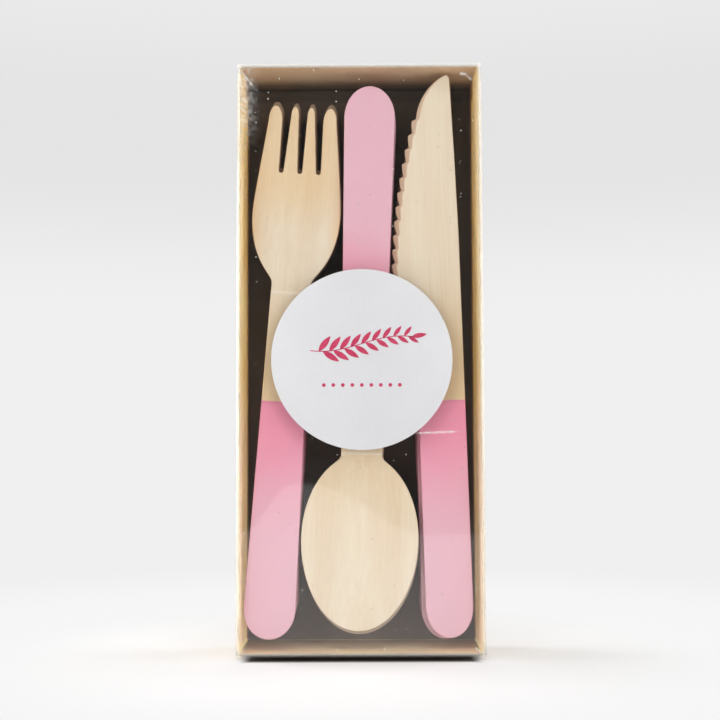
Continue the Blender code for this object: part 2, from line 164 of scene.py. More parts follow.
# Floor and light
CONTACT_GAP = 0.9 * MM        # the pack's base bows up off the table by this much
BACKDROP = (0.87, 0.87, 0.87)
FILL = 0.32
SIDE_FILL = 2.0
FRONT_FILL = 0.32
TOP_WATTS = 1.9
SIDE_WATTS = 2.65
LEFT_WASH_WATTS = 2.9
RIGHT_WASH_WATTS = 1.4

SWAY = random.Random(7)


class Value:
    """A shader value that takes part in Python sums."""

    def __init__(self, finish, socket):
        self.finish = finish
        self.socket = socket

    def sum(self, operation, *terms):
        return self.finish.add("ShaderNodeMath", {"operation": operation}, dict(enumerate(terms)))

    def __add__(self, other):
        return self.sum("ADD", self, other)

    def __radd__(self, other):
        return self.sum("ADD", other, self)

    def __sub__(self, other):
        return self.sum("SUBTRACT", self, other)

    def __rsub__(self, other):
        return self.sum("SUBTRACT", other, self)

    def __mul__(self, other):
        return self.sum("MULTIPLY", self, other)

    def __rmul__(self, other):
        return self.sum("MULTIPLY", other, self)

    def __truediv__(self, other):
        return self.sum("DIVIDE", self, other)

    def __pow__(self, other):
        return self.sum("POWER", self, other)

    def __lt__(self, other):
        return self.sum("LESS_THAN", self, other)

    def __abs__(self):
        return self.sum("ABSOLUTE", self)

    def larger(self, other):
        return self.sum("MAXIMUM", self, other)

    def smaller(self, other):
        return self.sum("MINIMUM", self, other)

    def ramp(self, low, high, from_value=0.0, to_value=1.0):
        """Smooth change from one value to another while this one goes from low to high."""
        settings = {"interpolation_type": "SMOOTHSTEP"}
        inputs = {"Value": self, "From Min": low, "From Max": high}
        inputs.update({"To Min": from_value, "To Max": to_value})
        return self.finish.add("ShaderNodeMapRange", settings, inputs)

    def output(self, name):
        """Another output of the same node."""
        return Value(self.finish, self.socket.node.outputs[name])


class Finish:
    """A material, or the world, and the nodes that make it."""

    def __init__(self, name, world=False):
        self.holder = bpy.data.worlds.new(name) if world else bpy.data.materials.new(name)
        self.holder.use_nodes = True
        self.tree = self.holder.node_tree
        self.tree.nodes.clear()

    def add(self, kind, settings=None, inputs=None):
        """Add a node, with its settings first and then its inputs, and give its first output."""
        node = self.tree.nodes.new(kind)
        for name, value in (settings or {}).items():
            setattr(node, name, value)
        for name, value in (inputs or {}).items():
            if isinstance(value, Value):
                self.tree.links.new(value.socket, node.inputs[name])
            else:
                node.inputs[name].default_value = value
        return Value(self, node.outputs[0]) if node.outputs else None

    def place(self):
        """Place on the pack."""
        return self.add("ShaderNodeTexCoord").output("Object")

    def blank_place(self):
        """Place on a piece of cutlery as it was cut, before it was pressed and laid."""
        return self.add("ShaderNodeAttribute", {"attribute_name": "blank_place"}).output("Vector")

    def parts(self, vector):
        split = self.add("ShaderNodeSeparateXYZ", None, {0: vector})
        return split, split.output("Y"), split.output("Z")

    def scaled(self, vector, scale):
        return self.add("ShaderNodeVectorMath", {"operation": "MULTIPLY"}, {0: vector, 1: scale})

    def moved(self, vector, by):
        return self.add("ShaderNodeVectorMath", {"operation": "ADD"}, {0: vector, 1: by})

    def noise(self, vector, scale, detail=3.0, roughness=0.5):
        inputs = {"Vector": vector, "Scale": scale, "Detail": detail, "Roughness": roughness}
        return self.add("ShaderNodeTexNoise", None, inputs)

    def colours(self, factor, first, second):
        """Blend of two colours."""
        pair = {0: factor, 6: rgba(first), 7: rgba(second)}
        return self.add("ShaderNodeMix", {"data_type": "RGBA"}, pair).output(2)

    def bump(self, height, depth):
        """Relief of the given depth in metres, from a height between 0 and 1."""
        return self.add("ShaderNodeBump", None, {"Height": height, "Distance": depth, "Strength": 1.0})

    def principled(self, **inputs):
        named = {name.replace("_", " ").title(): value for name, value in inputs.items()}
        if "Ior" in named:
            named["IOR"] = named.pop("Ior")
        return self.add("ShaderNodeBsdfPrincipled", None, named)

    def mixed(self, factor, first, second):
        return self.add("ShaderNodeMixShader", None, {0: factor, 1: first, 2: second})

    def done(self, surface):
        self.add("ShaderNodeOutputMaterial", None, {"Surface": surface})
        return self.holder


def rgba(colour):
    return colour if isinstance(colour, Value) else (*colour, 1.0)


def spaced(start, stop, steps):
    """Evenly spaced values from start to stop, both included."""
    return [start + (stop - start) * i / steps for i in range(steps + 1)]


def arc(centre_x, centre_z, radius_x, radius_z, start, stop, steps):
    """Points on an ellipse from start to stop, in degrees, both included."""
    angles = [math.radians(a) for a in spaced(start, stop, steps)]
    return [(centre_x + radius_x * math.cos(a), centre_z + radius_z * math.sin(a)) for a in angles]


def half_cosine(t):
    """Smooth rise from 0 at t = 0 to 1 at t = 1, and down again to 0 at t = 2."""
    return (1 - math.cos(math.pi * t)) / 2


def blend(a, b, sharpness):
    """The larger of two widths, with the corner between them rounded."""
    return (a ** sharpness + b ** sharpness) ** (1 / sharpness)


def ellipse_side(distance, length):
    return math.sqrt(max(0.0, 1 - (distance / length) ** 2))


def mirrored(right):
    """Whole outline from its right half, which starts and ends on the middle line."""
    return right + [(-x, z) for x, z in reversed(right[1:-1])]


def fork_half_width(z):
    """Half width of the fork's handle, shoulder and head at height z."""
    share = (z - FORK_HANDLE_END) / (FORK_NECK_AT - FORK_HANDLE_END)
    handle = (FORK_HANDLE + (FORK_NECK - FORK_HANDLE) * share) / 2
    above = z - (FORK_LENGTH - FORK_WIDEST)
    if above < 0:
        head = FORK_HEAD / 2 * ellipse_side(above, FORK_SHOULDER)
    else:
        head = FORK_HEAD / 2 - FORK_TAPER * (math.hypot(above, FORK_BEND) - FORK_BEND)
    return blend(handle, head, FORK_CORNER)


def fork_tines():
    """Right half of the tips and slots, from the head's side in to the middle slot."""
    slot_z = FORK_LENGTH - SLOT_DEPTH
    outer_z = FORK_LENGTH - OUTER_TIP
    inner_z = FORK_LENGTH - INNER_TIP
    side = fork_half_width(outer_z)
    mouth_outer = MOUTH_SPREAD + SLOT_MOUTH / 2
    mouth_inner = MOUTH_SPREAD - SLOT_MOUTH / 2
    middle = SLOT_MOUTH / 2
    points = arc((side + mouth_outer) / 2, outer_z, (side - mouth_outer) / 2, OUTER_TIP, 0, 180, 14)
    points += arc(SLOT_SPREAD, slot_z, SLOT_BASE / 2, SLOT_BASE / 2, 0, -180, 8)
    points += arc((mouth_inner + middle) / 2, inner_z, (mouth_inner - middle) / 2, INNER_TIP, 0, 180, 12)
    points += arc(0, slot_z, SLOT_BASE / 2, SLOT_BASE / 2, 0, -90, 4)
    return points


def fork_outline():
    widest = FORK_LENGTH - FORK_WIDEST
    right = arc(0, FORK_HANDLE_END, FORK_HANDLE / 2, FORK_HANDLE_END, -90, 0, 14)
    heights = spaced(widest - FORK_SHOULDER * PAST_SHOULDER, widest, 26)
    heights += spaced(widest, FORK_LENGTH - OUTER_TIP, 14)[1:-1]
    right += [(fork_half_width(z), z) for z in heights]
    right += fork_tines()
    return mirrored(right)


def die_step(z, at):
    """Faint step that the press leaves across the neck."""
    return 0.16 * MM * half_cosine(min(1.0, max(0.0, (z - at) / (0.9 * MM))))


def fork_press(x, z):
    """How far the fork's head is pressed back at a place on it."""
    along = z - FORK_NECK_AT
    if along <= 0:
        return 0.0
    if along < FORK_DEEPEST:
        depth = FORK_DIP * half_cosine(along / FORK_DEEPEST)
    else:
        depth = FORK_DIP * half_cosine(1 + (along - FORK_DEEPEST) / (2 * FORK_DEEPEST))
    return depth * (1 - FORK_EDGE_LIFT * (2 * x / FORK_HEAD) ** 2)


def spoon_half_width(z):
    """Half width of the spoon's bowl and handle at height z."""
    share = (z - SPOON_NECK_AT) / (SPOON_LENGTH - SPOON_HANDLE_END - SPOON_NECK_AT)
    handle = (SPOON_NECK + (SPOON_HANDLE - SPOON_NECK) * share) / 2
    above = z - BOWL_WIDEST
    if above < 0:
        return BOWL_WIDTH / 2 * ellipse_side(above, BOWL_WIDEST)
    bowl = BOWL_WIDTH / 2 * ellipse_side(above, BOWL_SHOULDER)
    return blend(handle, bowl, BOWL_CORNER)


def spoon_outline():
    end_z = SPOON_LENGTH - SPOON_HANDLE_END
    right = arc(0, BOWL_WIDEST, BOWL_WIDTH / 2, BOWL_WIDEST, -90, 0, 30)
    heights = spaced(BOWL_WIDEST, BOWL_WIDEST + BOWL_SHOULDER * PAST_SHOULDER, 30)[1:]
    right += [(spoon_half_width(z), z) for z in heights]
    right += arc(0, end_z, SPOON_HANDLE / 2, SPOON_HANDLE_END, 0, 90, 14)
    return mirrored(right)


def spoon_press(x, z):
    """How far the spoon's bowl is pressed back at a place on it."""
    along = (z - BOWL_WIDEST) / (BOWL_WIDEST if z < BOWL_WIDEST else BOWL_SHOULDER * PAST_SHOULDER)
    across = 2 * x / BOWL_WIDTH
    inside = max(0.0, 1 - along ** 2 - across ** 2)
    return BOWL_DIP * inside ** 1.5


def new_piece(name, bm):
    mesh = bpy.data.meshes.new(name)
    bm.to_mesh(mesh)
    bm.free()
    piece = bpy.data.objects.new(name, mesh)
    bpy.context.scene.collection.objects.link(piece)
    return piece


def slice_blank(bm, place, normal):
    whole = bm.verts[:] + bm.edges[:] + bm.faces[:]
    bmesh.ops.bisect_plane(bm, geom=whole, dist=0.000005, plane_co=place, plane_no=normal)


def smooth_all(bm, sharp_angle):
    for face in bm.faces:
        face.smooth = True
    for edge in bm.edges:
        if len(edge.link_faces) == 2:
            edge.smooth = edge.calc_face_angle(0.0) < math.radians(sharp_angle)


def pressed_mesh(name, outline, rows, columns, press):
    """Blank cut to the outline with tumbled edges, then pressed into shape."""
    bm = bmesh.new()
    bm.faces.new([bm.verts.new((x, 0, z)) for x, z in outline])
    grown = bmesh.ops.extrude_face_region(bm, geom=bm.faces[:])
    back = [item for item in grown["geom"] if isinstance(item, bmesh.types.BMVert)]
    bmesh.ops.translate(bm, vec=(0, WOOD, 0), verts=back)
    bmesh.ops.recalc_face_normals(bm, faces=bm.faces[:])
    rims = [edge for edge in bm.edges if abs(edge.verts[0].co.y - edge.verts[1].co.y) < EDGE_ROUND]
    bmesh.ops.bevel(bm, geom=rims, offset=EDGE_ROUND, segments=2, profile=0.5, affect="EDGES")
    for z in rows:
        slice_blank(bm, (0, 0, z), (0, 0, 1))
    for x in columns:
        slice_blank(bm, (x, 0, 0), (1, 0, 0))
    bmesh.ops.triangulate(bm, faces=[face for face in bm.faces if len(face.verts) > 4])
    for vert in bm.verts:
        vert.co.y += press(vert.co.x, vert.co.z)
    smooth_all(bm, 50)
    piece = new_piece(name, bm)
    mesh = piece.data
    bpy.data.objects.remove(piece)
    return mesh


def fork_mesh():
    rows = spaced(FORK_NECK_AT - 2 * MM, FORK_LENGTH - 2 * MM, 32)
    rows += spaced(FORK_DIE_LINE, FORK_DIE_LINE + 0.9 * MM, 3)
    columns = spaced(-12 * MM, 12 * MM, 12)

    def press(x, z):
        return fork_press(x, z) + die_step(z, FORK_DIE_LINE)

    return pressed_mesh("fork", fork_outline(), rows, columns, press)


def spoon_mesh():
    rows = spaced(1.2 * MM, SPOON_NECK_AT + 2 * MM, 34)
    rows += spaced(SPOON_DIE_LINE - 0.9 * MM, SPOON_DIE_LINE, 3)
    columns = spaced(-16 * MM, 16 * MM, 18)

    def press(x, z):
        return spoon_press(x, z) + die_step(2 * SPOON_DIE_LINE - z, SPOON_DIE_LINE)

    return pressed_mesh("spoon", spoon_outline(), rows, columns, press)


def cutting_edge(z):
    """Place of the knife's cutting edge across the blade at height z, at a tooth's crest."""
    crest = KNIFE_HANDLE / 2 - BLADE_WIDTH
    flat_top = HEEL_AT + HEEL_RISE + EDGE_FLAT
    share = max(0.0, z - flat_top) / (KNIFE_LENGTH - TOOTH_ROOM - flat_top)
    return crest + EDGE_RISE * share ** 2


def knife_teeth():
    """Stepped teeth from the tip's side down, with the bevel's width: x, z, bevel."""
    top = KNIFE_LENGTH - TOOTH_ROOM
    fine = 8
    points = []
    for step in range(fine * TEETH + 1):
        z = top - TOOTH_PITCH * step / fine
        share = (step % fine) / fine
        ledge = 1 / fine
        notch = 1 - share / ledge if share < ledge else ((share - ledge) / (1 - ledge)) ** 1.4
        points.append((cutting_edge(z) + TOOTH_DEPTH * notch, z, GRIND_WIDTH * (1 - 0.45 * notch)))
    return points


def knife_nose():
    """Curve from the tip down to the first tooth, on the cutting side, with its bevel."""
    spine = KNIFE_HANDLE / 2 - SPINE_TAPER
    base_z = KNIFE_LENGTH - TOOTH_ROOM
    base_x = cutting_edge(base_z) + TOOTH_DEPTH
    points = []
    for angle in spaced(82, 0, 24)[:-1]:
        across = math.cos(math.radians(angle)) ** (2 / NOSE_FULLNESS)
        rise = math.sin(math.radians(angle)) ** (2 / NOSE_FULLNESS)
        bevel = GRIND_WIDTH * 0.75 * (1 - angle / 82) ** 0.7
        points.append((spine - (spine - base_x) * across, base_z + TOOTH_ROOM * rise, bevel))
    return points


def knife_outline():
    """Points of the knife's outline as x, z and the width of the bevel ground there."""
    half = KNIFE_HANDLE / 2
    points = [(x, z, 0.0) for x, z in arc(0, KNIFE_HANDLE_END, half, KNIFE_HANDLE_END, -90, 0, 14)]
    points.append((half, KNIFE_LENGTH - SPINE_TAPER_LENGTH, 0.0))
    points.append((half - SPINE_TAPER * 0.4, KNIFE_LENGTH - SPINE_TAPER_LENGTH * 0.5, 0.0))
    points.append((half - SPINE_TAPER, KNIFE_LENGTH - TIP_ROUND, 0.0))
    points += knife_nose()
    points += knife_teeth()
    for share in spaced(0, 1, 12):
        z = HEEL_AT + HEEL_RISE * (1 - share)
        widening = half_cosine((z - HEEL_AT) / HEEL_RISE)
        points.append((-half - (BLADE_WIDTH - KNIFE_HANDLE) * widening, z, 0.0))
    turn = arc(0, KNIFE_HANDLE_END, half, KNIFE_HANDLE_END, 180, 270, 14)[:-1]
    return points + [(x, z, 0.0) for x, z in turn]


def knife_mesh():
    """Flat blank with tumbled edges, its cutting edge ground back from the front."""
    bm = bmesh.new()
    face_ring = []
    edge_ring = []
    back_ring = []
    for x, z, bevel in knife_outline():
        ground = bevel > 0.05 * MM
        face = bm.verts.new((x + bevel, 0, z - bevel * 0.25))
        edge = bm.verts.new((x, GRIND_DEPTH * bevel / GRIND_WIDTH, z)) if ground else face
        face_ring.append(face)
        edge_ring.append(edge)
        back_ring.append(bm.verts.new((x, KNIFE_WOOD, z)))
    bm.faces.new(face_ring)
    bm.faces.new(list(reversed(back_ring)))
    count = len(face_ring)
    for i in range(count):
        j = (i + 1) % count
        bm.faces.new([edge_ring[i], back_ring[i], back_ring[j], edge_ring[j]])
        strip = []
        for vert in (face_ring[i], edge_ring[i], edge_ring[j], face_ring[j]):
            if vert not in strip:
                strip.append(vert)
        if len(strip) > 2:
            bm.faces.new(strip)
    bmesh.ops.recalc_face_normals(bm, faces=bm.faces[:])
    round_plain_edges(bm)
    for z in spaced(20 * MM, KNIFE_LENGTH - 5 * MM, 12):
        slice_blank(bm, (0, 0, z), (0, 0, 1))
    bmesh.ops.triangulate(bm, faces=[face for face in bm.faces if len(face.verts) > 4])
    smooth_all(bm, 22)
    piece = new_piece("knife", bm)
    mesh = piece.data
    bpy.data.objects.remove(piece)
    return mesh


def round_plain_edges(bm):
    """Tumble the knife's edges round, apart from its ground cutting edge."""
    teeth_top = KNIFE_LENGTH - TIP_ROUND
    teeth_low = KNIFE_LENGTH - TOOTH_ROOM - TOOTH_PITCH * TEETH
    plain = []
    for edge in bm.edges:
        level = abs(edge.verts[0].co.y - edge.verts[1].co.y) < EDGE_ROUND
        spine = min(vert.co.x for vert in edge.verts) > KNIFE_HANDLE / 2 - 1.5 * SPINE_TAPER
        below = max(vert.co.z for vert in edge.verts) < teeth_low
        sharp = edge.calc_face_angle(0.0) > math.radians(60)
        if level and sharp and (below or (spine and edge.verts[0].co.z < teeth_top)):
            plain.append(edge)
    bmesh.ops.bevel(bm, geom=plain, offset=EDGE_ROUND, segments=2, profile=0.5, affect="EDGES")


def keep_blank_place(mesh):
    """Remember each point's place on the blank, which the grain and the dip follow."""
    kept = mesh.attributes.new("blank_place", "FLOAT_VECTOR", "POINT")
    for vert in mesh.vertices:
        kept.data[vert.index].vector = vert.co


def lay_stack(kind, mesh, stack, material):
    """Lay the copies of one piece in the places of their solids, number 1 in front."""
    mesh.materials.append(material)
    keep_blank_place(mesh)
    for number in range(1, COPIES + 1):
        node = f"{kind}_{number}"
        front = number == 1
        piece = bpy.data.objects.new(f"{kind}_piece_{number}", mesh.copy())
        bpy.context.scene.collection.objects.link(piece)
        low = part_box(node)[0]
        stray = 0.0 if front else SWAY.uniform(-1, 1)
        x = stack.foot_x + (0.0 if front else stack.right + ASTRAY * stray)
        z = stack.foot_z + (0.0 if front else stack.up + ASTRAY_UP * SWAY.uniform(-1, 1))
        lean = stack.lean + (0.0 if front else stack.turn + ASTRAY_TURN * stray)
        piece.data.transform(Matrix.Translation((x, low[1], z)) @ Matrix.Rotation(lean, 4, "Y"))
        piece.pass_index = number
        even = piece.modifiers.new("even_shading", "WEIGHTED_NORMAL")
        even.keep_sharp = True
        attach(piece, "tray")
        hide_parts(node)


def wood_colour(finish, place, number, shade_share):
    """Pale veneer: broad bands, fine fibres and short dark pores, browner where painted shade falls."""
    shift = finish.add("ShaderNodeCombineXYZ", None, {0: number * 0.37, 2: number})
    shifted = finish.moved(place, shift)
    bands = finish.noise(finish.scaled(shifted, (160, 160, 9)), 1.0, 3.0, 0.55)
    fibres = finish.noise(finish.scaled(shifted, (1500, 1500, 45)), 1.0, 4.0, 0.6)
    pores = finish.noise(finish.scaled(shifted, (2600, 2600, 170)), 1.0, 2.0, 0.5)
    tone = bands.ramp(0.3, 0.7) * 0.6 + fibres.ramp(0.3, 0.7) * 0.4
    colour = finish.colours(tone, (0.805, 0.655, 0.475), (0.875, 0.77, 0.61))
    # Brownish colour that paints shade onto the wood, by the given share.
    tan = finish.colours(tone, (0.80, 0.56, 0.30), (0.88, 0.66, 0.39))
    colour = finish.colours(shade_share, colour, tan)
    pore = pores.ramp(0.66, 0.8) * 0.28
    return finish.colours(pore, colour, (0.50, 0.33, 0.18)), fibres


def paint_colour(finish, place, from_line, fade_length):
    """Dusty pink: deeper near the dip's line as painted shade, paler towards the handle's end as painted
    sheen.
    """
    cloud = finish.noise(finish.scaled(place, (90, 90, 25)), 1.0, 3.0, 0.5)
    # Deep pink at the line is painted shade; the paler pink away from it is painted sheen.
    fade = (from_line + (cloud - 0.5) * 0.02).ramp(0.0, fade_length)
    return finish.colours(fade, (0.93, 0.32, 0.45), (0.83, 0.49, 0.575))


def dipped_wood(dip):
    """Bare veneer with one end dipped in matte pink paint.

    The wood is browner before the dip's line and on the fork's head as painted shade, a pale painted
    highlight crosses the neck at the die's step, and pieces behind the front one are painted darker as
    shade.
    """
    finish = Finish(dip.name)
    place = finish.blank_place()
    x, _, z = finish.parts(place)
    number = finish.add("ShaderNodeObjectInfo").output("Object Index")
    sway = (finish.noise(finish.scaled(place, (160, 160, 160)), 1.0, 2.0, 0.5) - 0.5) * 0.0009
    past = (z - dip.line_at if dip.handle_up else dip.line_at - z) + sway
    # Painted shade on the fork's head: its tines and its sides.
    head = past.ramp(-0.066, -0.048, 0.7, 0.0).larger(abs(x).ramp(0.0085, 0.0135) * 0.8)
    # Painted shade: browner before the dip's line beside the label, and on the fork's head.
    shade_share = past.ramp(dip.tan[0], dip.tan[1], 0.0, dip.tan[2]).larger(head * dip.hot_head)
    wood, fibres = wood_colour(finish, place, number, shade_share)
    # Pale line at the die's step: a painted highlight on the step's edge.
    die_line = abs(z - dip.die_line).ramp(0.0, 0.0007, 0.55, 0.0)
    wood = finish.colours(die_line, wood, (0.96, 0.86, 0.73))
    paint = paint_colour(finish, place, past, dip.fade_length)
    painted = past.ramp(-0.00012, 0.00012)
    rim = past.ramp(0.0, 0.0003) * past.ramp(0.0003, 0.0011, 1.0, 0.0)
    facing = finish.add("ShaderNodeTexCoord").output("Normal")
    side = 1 - abs(finish.parts(facing)[1]).ramp(*dip.facets)
    cut_wood = finish.colours(side * 0.6, wood, (0.60, 0.36, 0.21))
    cut_paint = finish.colours(rim * 0.35 + side * 0.25, paint, (0.72, 0.24, 0.32))
    colour = finish.colours(painted, cut_wood, cut_paint)
    # Painted shade: pieces behind the front one are darkened, the fork's heads most.
    behind = number.ramp(1.0, 2.0) * painted.ramp(0.0, 1.0, 0.5 + 0.3 * dip.hot_head, 0.35)
    colour = finish.colours(behind, colour, (0.16, 0.09, 0.06))
    roughness = painted.ramp(0.0, 1.0, 0.68, 0.5) + (fibres - 0.5) * 0.12
    relief = fibres * painted.ramp(0.0, 1.0, 1.0, 0.45) + painted * 0.8
    shader = finish.principled(
        base_color=colour, roughness=roughness, normal=finish.bump(relief, 0.00006), ior=1.45
    )
    return finish.done(shader)


def kraft_board(name, glow):
    """Brown kraft board: fibres, specks, and a paler raw edge at the rim.

    The inside is painted paler as painted light, pinker and paler low down beside the pink handles and
    on the tray's floor as painted light, and darker deep inside and on the back as painted shade.
    Light from the sides glows through the thin side walls.
    """
    finish = Finish(name)
    place = finish.place()
    x, y, z = finish.parts(place)
    clouds = finish.noise(place, 160.0, 4.0, 0.6)
    along = finish.noise(finish.scaled(place, (2600, 2600, 260)), 1.0, 3.0, 0.6)
    across = finish.noise(finish.scaled(place, (300, 300, 2600)), 1.0, 3.0, 0.6)
    fibres = along.larger(across)
    specks = finish.noise(place, 1900.0, 1.0, 0.5).ramp(0.70, 0.78)
    tone = clouds.ramp(0.3, 0.7) * 0.5 + fibres.ramp(0.45, 0.75) * 0.5
    outer = finish.colours(tone, (0.49, 0.335, 0.19), (0.59, 0.425, 0.26))
    # Paler inside colour: painted light on the inner walls.
    inner = finish.colours(tone, (0.84, 0.60, 0.375), (0.93, 0.70, 0.47))
    inside = (TRAY_HIGH[0] - abs(x)).smaller(TRAY_HIGH[1] - y)
    inside = inside.smaller(TRAY_HIGH[2] - z).smaller(z - TRAY_LOW[2]).ramp(0.0002, 0.0004)
    colour = finish.colours(inside, outer, inner)
    colour = finish.colours(specks * 0.5, colour, (0.28, 0.16, 0.08))
    # Painted light: pinker and paler walls low down beside the handles.
    low_wall_light = z.ramp(0.055, 0.085, 0.6, 0.0) * inside
    colour = finish.colours(low_wall_light, colour, (0.97, 0.69, 0.58))
    # Painted light on the tray's floor.
    tray_floor_light = z.ramp(0.0012, 0.0030, 0.95, 0.0) * inside
    colour = finish.colours(tray_floor_light, colour, (0.97, 0.77, 0.48))
    rim = y.ramp(RIM_Y + 0.0002, RIM_Y + 0.0006, 0.8, 0.0)
    colour = finish.colours(rim, colour, (0.82, 0.74, 0.59))
    # Painted shade deep under the roof and deep along the side walls.
    deep_roof = z.ramp(0.166, 0.169) * y.ramp(0.0, 0.009)
    deep_sides = z.ramp(0.07, 0.12) * y.ramp(0.006, 0.013) * 0.7
    deep = deep_roof.larger(deep_sides) * inside
    colour = finish.colours(deep * 0.75, colour, (0.14, 0.10, 0.07))
    # Painted shade on the inside of the back.
    above_floor = z.ramp(0.00115, 0.0013)
    inside_back = y.ramp(INNER_BACK_Y - 0.004, INNER_BACK_Y) * above_floor * inside
    colour = finish.colours(inside_back * 0.85, colour, (0.075, 0.058, 0.045))
    shader = finish.principled(
        base_color=colour,
        roughness=0.8 + (clouds - 0.5) * 0.15,
        normal=finish.bump(fibres, 0.00005),
        subsurface_weight=glow,
        subsurface_radius=(1.0, 0.88, 0.76),
        subsurface_scale=GLOW_DEPTH,
    )
    return finish.done(shader)


def streak(x, z, start, end, width):
    """Mask of a short crease from start to end, each a place across and up the film."""
    length = math.dist(start, end)
    run_x = (end[0] - start[0]) / length
    run_z = (end[1] - start[1]) / length
    along = (x - start[0]) * run_x + (z - start[1]) * run_z
    across = abs((x - start[0]) * run_z - (z - start[1]) * run_x)
    ends = along.ramp(0.0, 0.25 * length) * along.ramp(0.7 * length, length, 1.0, 0.0)
    return across.ramp(0.0, width, 1.0, 0.0) * ends


def film_dust(finish, x, z):
    """Scattered pale specks, each somewhere in its own cell of a grid."""
    flat = finish.add("ShaderNodeCombineXYZ", None, {0: x, 1: z})
    settings = {"voronoi_dimensions": "2D"}
    cell = finish.add("ShaderNodeTexVoronoi", settings, {"Vector": flat, "Scale": 300.0})
    chance, strength, _ = finish.parts(cell.output("Color"))
    size = chance.ramp(0.60, 1.0, 0.0, 0.055)
    return (cell < size) * strength.ramp(0.0, 1.0, 0.25, 0.8)


def film_creases(x, z):
    """Painted highlights along creases at the film's folded corners, and along one across the knives'
    handles.
    """
    creases = streak(x, z, (-0.0350, 0.1712), (-0.0308, 0.1655), 0.0006) * 0.7
    creases = creases.larger(streak(x, z, (-0.0345, 0.1690), (-0.0325, 0.1640), 0.0005) * 0.5)
    creases = creases.larger(streak(x, z, (0.0290, 0.1698), (0.0322, 0.1694), 0.0007) * 0.5)
    creases = creases.larger(streak(x, z, (0.0312, 0.1697), (0.0333, 0.1676), 0.0006) * 0.6)
    creases = creases.larger(streak(x, z, (0.0325, 0.0030), (0.0352, 0.0004), 0.0004) * 0.6)
    creases = creases.larger(streak(x, z, (-0.0350, 0.0004), (-0.0330, 0.0028), 0.0004) * 0.4)
    return creases.larger(streak(x, z, (0.0150, 0.0640), (0.0300, 0.0646), 0.0005) * 0.7)


def film_glints_and_dust(finish, place):
    """Where white is painted on the film: painted highlights along folds and creases, painted glare at
    one corner, and dust specks.
    """
    x, y, z = finish.parts(place)
    side = abs(x).ramp(LID_SIDE - 0.0011, LID_SIDE - 0.0004)
    level = abs(z - LID_MIDDLE)
    ends = level.ramp(LID_MIDDLE - 0.0016, LID_MIDDLE - 0.0008)
    front = y.ramp(LID_FACE_Y, LID_FACE_Y + 0.0012, 1.0, 0.0)
    # Painted highlights along the folds, stronger at the top than at the foot.
    folds = (side * 0.06).larger(ends * z.ramp(0.01, 0.1, 0.1, 0.45)) * front
    # Painted highlights along the creases, broken up by noise.
    streak_breakup = finish.noise(place, 700.0, 3.0, 0.6)
    crease_glints = film_creases(x, z) * streak_breakup.ramp(0.35, 0.6, 0.2, 0.75)
    # Painted glare on the film at the top left corner.
    corner_glare = x.ramp(-0.0345, -0.0285, 1.0, 0.0) * z.ramp(0.146, 0.160)
    glare_mask = corner_glare * streak_breakup.ramp(0.3, 0.75) * 0.30
    return folds.larger(crease_glints * front).larger(glare_mask * front).larger(film_dust(finish, x, z) * front)


def clear_film():
    """Clear film: what is behind it, plus the sheen of its surface, its painted highlights and its dust.
    """
    finish = Finish("clear_film_sheen")
    place = finish.place()
    facing = finish.add("ShaderNodeLayerWeight", None, {"Blend": 0.5}).output("Facing")
    sheen = FILM_SHEEN + (1 - FILM_SHEEN) * facing ** 5.0
    x, _, z = finish.parts(place)
    waves = finish.noise(finish.scaled(place, (28, 28, 16)), 1.0, 1.0, 0.4)
    bulge = x.ramp(-0.034, -0.018) * x.ramp(-0.018, 0.022, 1.0, 0.0)
    bulge = bulge * z.ramp(0.022, 0.062) * z.ramp(0.062, 0.125, 1.0, 0.0)
    normal = finish.bump(bulge + waves * 0.3, FILM_BULGE)
    gloss = finish.principled(
        base_color=(0.96, 0.97, 0.98, 1), metallic=1.0, roughness=0.04, normal=normal
    )
    clear = finish.add("ShaderNodeBsdfTransparent", None, {"Color": (0.995, 0.997, 0.995, 1)})
    film = finish.mixed(sheen, clear, gloss)
    # White that paints the highlights and the dust specks.
    white = finish.principled(base_color=(0.90, 0.88, 0.84, 1), roughness=0.35)
    return finish.done(finish.mixed(film_glints_and_dust(finish, place), film, white))


def label_paper():
    """Smooth white label paper with a faint mottle."""
    finish = Finish("label_paper_white")
    place = finish.place()
    mottle = finish.noise(place, 900.0, 4.0, 0.6)
    broad = finish.noise(place, 60.0, 2.0, 0.5)
    tone = mottle.ramp(0.3, 0.7) * 0.4 + broad.ramp(0.3, 0.7) * 0.6
    colour = finish.colours(tone, (0.625, 0.625, 0.64), (0.665, 0.665, 0.68))
    shader = finish.principled(
        base_color=colour, roughness=0.42 + (mottle - 0.5) * 0.1, normal=finish.bump(mottle, 0.00001)
    )
    return finish.done(shader)


def crimson_ink():
    """Crimson print, laid a little unevenly."""
    finish = Finish("crimson_ink")
    patches = finish.noise(finish.place(), 500.0, 3.0, 0.6)
    colour = finish.colours(patches.ramp(0.3, 0.7), (0.48, 0.030, 0.085), (0.58, 0.05, 0.13))
    shader = finish.principled(base_color=colour, roughness=0.35 + (patches - 0.5) * 0.1)
    return finish.done(shader)


